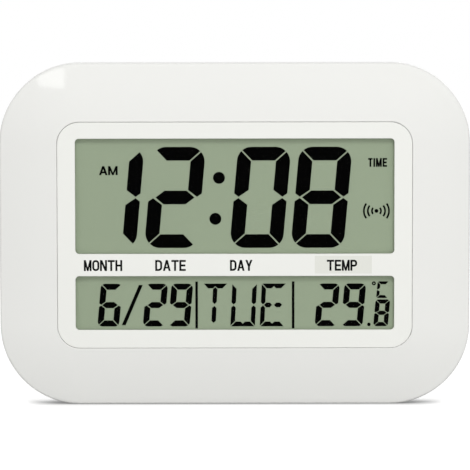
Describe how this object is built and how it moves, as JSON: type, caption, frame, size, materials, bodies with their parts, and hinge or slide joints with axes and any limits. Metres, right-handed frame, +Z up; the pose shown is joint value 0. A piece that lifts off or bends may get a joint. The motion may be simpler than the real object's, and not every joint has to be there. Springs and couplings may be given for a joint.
{
  "type": "digital wall clock",
  "caption": "Rounded rectangular digital wall clock with a wide white frame, a liquid crystal time display above a calendar row, a keyhole hanger and a fold-out desk stand.",
  "frame": {"origin": "centre of the case outline on the rear face, in the plane of the wall", "axes": "+X to the right as seen from the front, +Y into the wall, +Z up; the display faces -Y"},
  "size_m": [0.27, 0.028, 0.1966],
  "materials": {
    "white_gloss": "glossy moulded white",
    "white_satin": "satin white with printed captions",
    "black_foam": "foam",
    "clear_glass": "clear",
    "display_ground": "green-grey liquid crystal ground",
    "display_ink": "lit liquid crystal segments, black",
    "white_matte": "fine matte grain",
    "grey_rubber": "banded elastomer",
    "board_green": "solder mask",
    "black_plastic": "matte",
    "steel": "nickel plated",
    "aluminium_can": "satin",
    "cell_jacket": "printed sleeve, plain",
    "ferrite": "sintered",
    "copper_wire": "enamelled winding",
    "button_grey": "soft matte",
    "plunger_black": "matte"
  },
  "bodies": {
    "case": {"aerial_coil": "copper_wire", "alarm_buzzer": "black_plastic", "battery_springs": "steel", "board_screws": "steel", "bridge_contact": "steel", "buffer_capacitor": "aluminium_can", "button_board": "board_green", "button_board_screws": "steel", "calendar_segments": "display_ink", "case_screws": "steel", "connector_strip": "grey_rubber", "controller_chip": "black_plastic", "display_front_glass": "clear_glass", "display_holder": "white_matte", "display_rear_glass": "display_ground", "display_reflector": "display_ground", "dust_gasket": "black_foam", "face_panel": "white_satin", "ferrite_rod": "ferrite", "front_bezel": "white_gloss", "holder_screws": "steel", "lower_battery_cell": "cell_jacket", "main_board": "board_green", "negative_contact": "steel", "positive_contact": "steel", "quartz_crystal": "steel", "rear_cover": "white_matte", "receiver_chip": "black_plastic", "switch_housings": "black_plastic", "temperature_sensor": "black_plastic", "time_segments": "display_ink", "upper_battery_cell": "cell_jacket"},
    "battery_door": {"battery_door": "white_matte"},
    "desk_stand": {"desk_stand": "white_matte"},
    "set_button": {"set_button": "button_grey", "set_switch_plunger": "plunger_black"},
    "up_button": {"up_button": "button_grey", "up_switch_plunger": "plunger_black"},
    "mode_button": {"mode_button": "button_grey", "mode_switch_plunger": "plunger_black"},
    "down_button": {"down_button": "button_grey", "down_switch_plunger": "plunger_black"},
    "alarm_button": {"alarm_button": "button_grey", "alarm_switch_plunger": "plunger_black"},
    "wave_button": {"wave_button": "button_grey", "wave_switch_plunger": "plunger_black"}
  },
  "joints": [
    {"name": "battery_door_hinge", "type": "hinge", "parent": "case", "child": "battery_door", "pos_m": [0, -0.0015, 0.04275], "axis": [1, 0, 0], "range_deg": [0, 85]},
    {"name": "desk_stand_hinge", "type": "hinge", "parent": "case", "child": "desk_stand", "pos_m": [0, -0.0026, -0.009], "axis": [1, 0, 0], "range_deg": [0, 30]},
    {"name": "set_button_press", "type": "slide", "parent": "case", "child": "set_button", "axis": [0, -1, 0], "range_m": [0, 0.0005], "stiffness_N_per_m": 2400},
    {"name": "up_button_press", "type": "slide", "parent": "case", "child": "up_button", "axis": [0, -1, 0], "range_m": [0, 0.0005], "stiffness_N_per_m": 2400},
    {"name": "mode_button_press", "type": "slide", "parent": "case", "child": "mode_button", "axis": [0, -1, 0], "range_m": [0, 0.0005], "stiffness_N_per_m": 2400},
    {"name": "down_button_press", "type": "slide", "parent": "case", "child": "down_button", "axis": [0, -1, 0], "range_m": [0, 0.0005], "stiffness_N_per_m": 2400},
    {"name": "alarm_button_press", "type": "slide", "parent": "case", "child": "alarm_button", "axis": [0, -1, 0], "range_m": [0, 0.0005], "stiffness_N_per_m": 2400},
    {"name": "wave_button_press", "type": "slide", "parent": "case", "child": "wave_button", "axis": [0, -1, 0], "range_m": [0, 0.0005], "stiffness_N_per_m": 2400}
  ]
}
